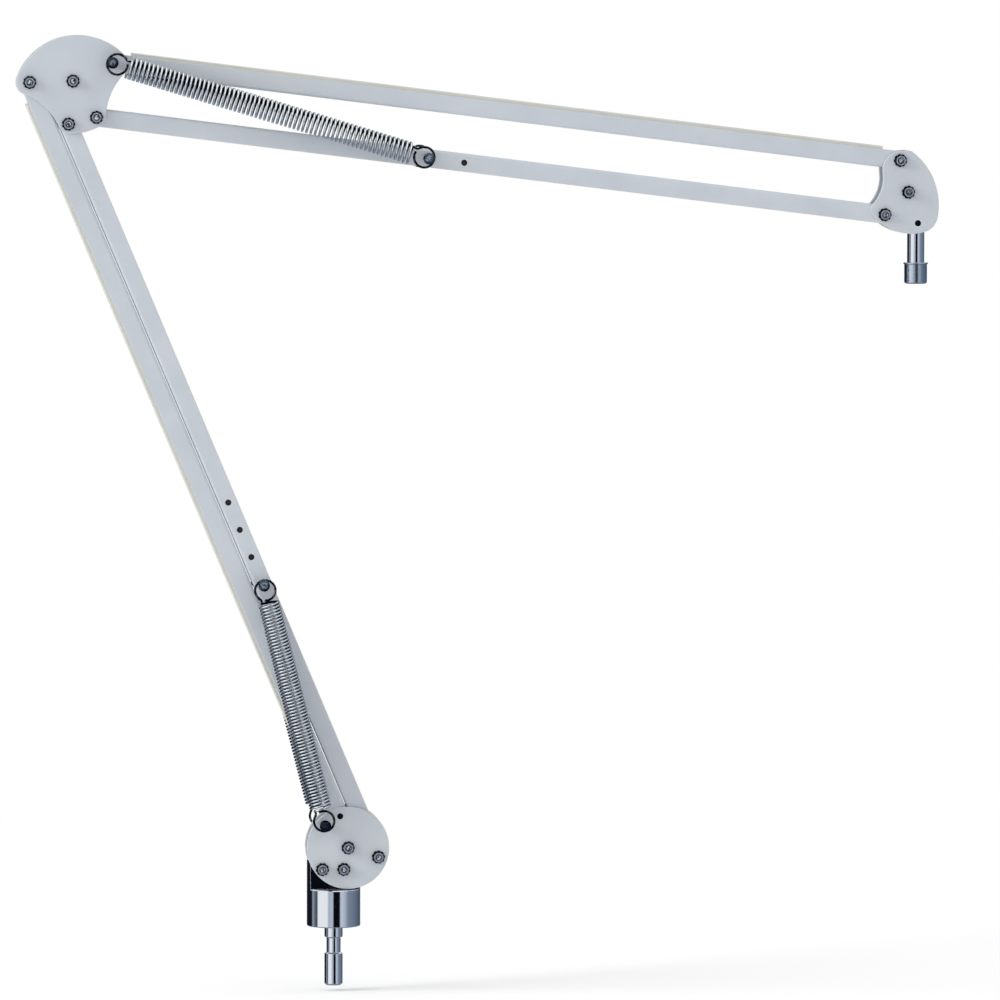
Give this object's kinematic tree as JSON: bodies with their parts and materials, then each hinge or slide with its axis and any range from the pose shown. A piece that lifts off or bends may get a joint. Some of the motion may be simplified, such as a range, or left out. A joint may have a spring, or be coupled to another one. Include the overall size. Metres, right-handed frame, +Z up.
{
  "type": "microphone boom arm",
  "caption": "Spring-balanced parallelogram boom arm with a spigot foot, channel bars, cable covers and a threaded microphone stud at its tip.",
  "frame": {"origin": "on the spigot's axis, at the shoulder where it leaves the hub", "axes": "+Z up along the spigot's axis, +X from the hub towards the side where the boom reaches, +Y away from the viewer and along every pivot"},
  "size_m": [0.6384, 0.0548, 0.6573],
  "materials": {
    "chrome": "bright chrome plate on turned steel",
    "post_chrome": "chrome plate on the spring posts",
    "cream_paint": "satin off-white powder coat",
    "cream_plastic": "satin cream plastic strip",
    "spring_steel": "bright zinc plated spring wire",
    "zinc": "zinc plated steel",
    "washer_steel": "dark toothed washer steel",
    "black_oxide": "black oxide steel pin",
    "black_plastic": "black nylon hole caps",
    "nylon": "natural nylon"
  },
  "bodies": {
    "base": {"spigot": "chrome", "hub": "chrome", "base_disc_front": "cream_paint", "base_disc_rear": "cream_paint", "base_spacer_tubes": "zinc", "base_bolts": "zinc", "base_nuts": "zinc", "base_star_washers": "washer_steel", "base_spring_posts": "post_chrome", "base_left_pin": "black_oxide", "base_pivot_bushes": "zinc", "base_nylon_washers": "nylon"},
    "lower_bar": {"lower_right_bar": "cream_paint", "lower_hole_plugs": "black_plastic", "lower_bar_spring_posts": "post_chrome", "lower_post_spacer": "zinc", "lower_spring_front": "spring_steel", "lower_spring_rear": "spring_steel"},
    "lower_follower": {"lower_left_bar": "cream_paint", "lower_cable_cover": "cream_plastic"},
    "elbow": {"elbow_plate_front": "cream_paint", "elbow_plate_rear": "cream_paint", "elbow_spacer_tube": "zinc", "elbow_bushes": "zinc", "elbow_bolts": "zinc", "elbow_nuts": "zinc", "elbow_star_washers": "washer_steel", "elbow_spring_posts": "post_chrome", "elbow_nylon_washers": "nylon"},
    "upper_bar": {"upper_bottom_bar": "cream_paint", "upper_hole_plugs": "black_plastic", "upper_bar_spring_posts": "post_chrome", "upper_post_spacer": "zinc", "upper_spring_front": "spring_steel", "upper_spring_rear": "spring_steel"},
    "upper_follower": {"upper_top_bar": "cream_paint", "upper_cable_cover": "cream_plastic"},
    "tip": {"tip_plate_front": "cream_paint", "tip_plate_rear": "cream_paint", "tip_block": "zinc", "tip_bushes": "zinc", "tip_bolts": "zinc", "tip_nuts": "zinc", "tip_star_washers": "washer_steel", "tip_nylon_washers": "nylon", "tip_cross_pin": "black_oxide", "mic_stud": "chrome", "thread_end": "chrome"}
  },
  "joints": [
    {"name": "lower_tilt", "type": "hinge", "parent": "base", "child": "lower_bar", "pos_m": [0.03019, 0, 0.04842], "axis": [0, 1, 0], "range_deg": [0, 75], "deforming": ["lower_spring_front", "lower_spring_rear"]},
    {"name": "lower_left_follow", "type": "hinge", "parent": "base", "child": "lower_follower", "pos_m": [0.00364, 0, 0.07699], "axis": [0, 1, 0], "range_deg": [0, 75]},
    {"name": "elbow_level", "type": "hinge", "parent": "lower_bar", "child": "elbow", "pos_m": [-0.18382, 0, 0.55507], "axis": [0, 1, 0], "range_deg": [-75, 0]},
    {"name": "upper_tilt", "type": "hinge", "parent": "elbow", "child": "upper_bar", "pos_m": [-0.16462, 0, 0.55967], "axis": [0, 1, 0], "range_deg": [-55, 55], "deforming": ["upper_spring_front", "upper_spring_rear"]},
    {"name": "upper_top_follow", "type": "hinge", "parent": "elbow", "child": "upper_follower", "pos_m": [-0.15394, 0, 0.59718], "axis": [0, 1, 0], "range_deg": [-55, 55]},
    {"name": "tip_level", "type": "hinge", "parent": "upper_bar", "child": "tip", "pos_m": [0.38127, 0, 0.49264], "axis": [0, 1, 0], "range_deg": [-55, 55]}
  ],
  "couplings": [
    {"joint": "lower_left_follow", "follows": "lower_tilt", "ratio": 1},
    {"joint": "elbow_level", "follows": "lower_tilt", "ratio": -1},
    {"joint": "upper_top_follow", "follows": "upper_tilt", "ratio": 1},
    {"joint": "tip_level", "follows": "upper_tilt", "ratio": -1}
  ]
}
